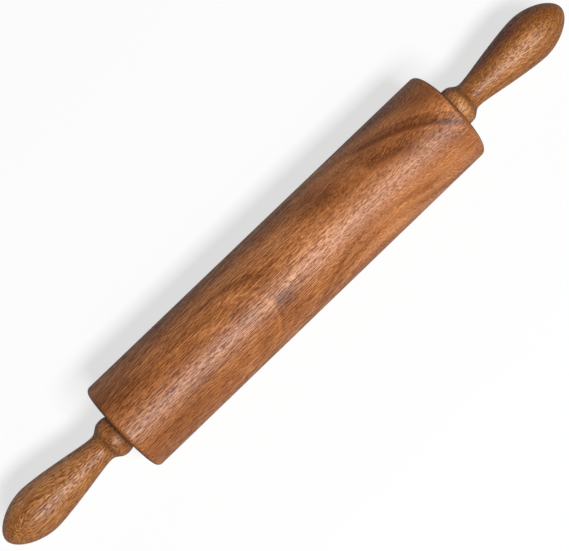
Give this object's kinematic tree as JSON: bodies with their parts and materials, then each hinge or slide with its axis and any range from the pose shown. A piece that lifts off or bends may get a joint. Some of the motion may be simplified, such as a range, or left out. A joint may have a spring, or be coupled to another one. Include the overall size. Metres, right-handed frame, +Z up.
{
  "type": "rolling pin",
  "caption": "Wooden rolling pin whose barrel spins on ball bearings round a steel axle that is screwed into two turned handles.",
  "frame": {"origin": "middle of the barrel, on its axis", "axes": "+X along the pin towards the right handle, +Y towards the user, +Z up"},
  "size_m": [0.432, 0.0588, 0.0588],
  "materials": {
    "barrel_wood": "satin",
    "handle_wood": "satin",
    "axle_steel": "satin",
    "bearing_steel": "polished",
    "shield_steel": "satin",
    "cage_nylon": "matte",
    "insert_brass": "satin"
  },
  "bodies": {
    "handles": {"axle": "axle_steel", "handle_left": "handle_wood", "handle_right": "handle_wood", "insert_left": "insert_brass", "insert_right": "insert_brass", "spacer_left": "axle_steel", "spacer_right": "axle_steel", "inner_race_left": "bearing_steel", "inner_race_right": "bearing_steel"},
    "barrel": {"barrel": "barrel_wood", "outer_race_left": "bearing_steel", "outer_race_right": "bearing_steel", "outer_shield_left": "shield_steel", "outer_shield_right": "shield_steel", "inner_shield_left": "shield_steel", "inner_shield_right": "shield_steel"},
    "left_cage": {"cage_left": "cage_nylon", "balls_left": "bearing_steel"},
    "right_cage": {"cage_right": "cage_nylon", "balls_right": "bearing_steel"}
  },
  "joints": [
    {"name": "barrel_spin", "type": "hinge", "parent": "handles", "child": "barrel", "pos_m": [0, 0, 0], "axis": [1, 0, 0], "continuous": true},
    {"name": "left_cage_spin", "type": "hinge", "parent": "handles", "child": "left_cage", "pos_m": [-0.1225, 0, 0], "axis": [1, 0, 0], "continuous": true},
    {"name": "right_cage_spin", "type": "hinge", "parent": "handles", "child": "right_cage", "pos_m": [0.1225, 0, 0], "axis": [1, 0, 0], "continuous": true}
  ],
  "couplings": [
    {"joint": "left_cage_spin", "follows": "barrel_spin", "ratio": 0.6323},
    {"joint": "right_cage_spin", "follows": "barrel_spin", "ratio": 0.6323}
  ]
}
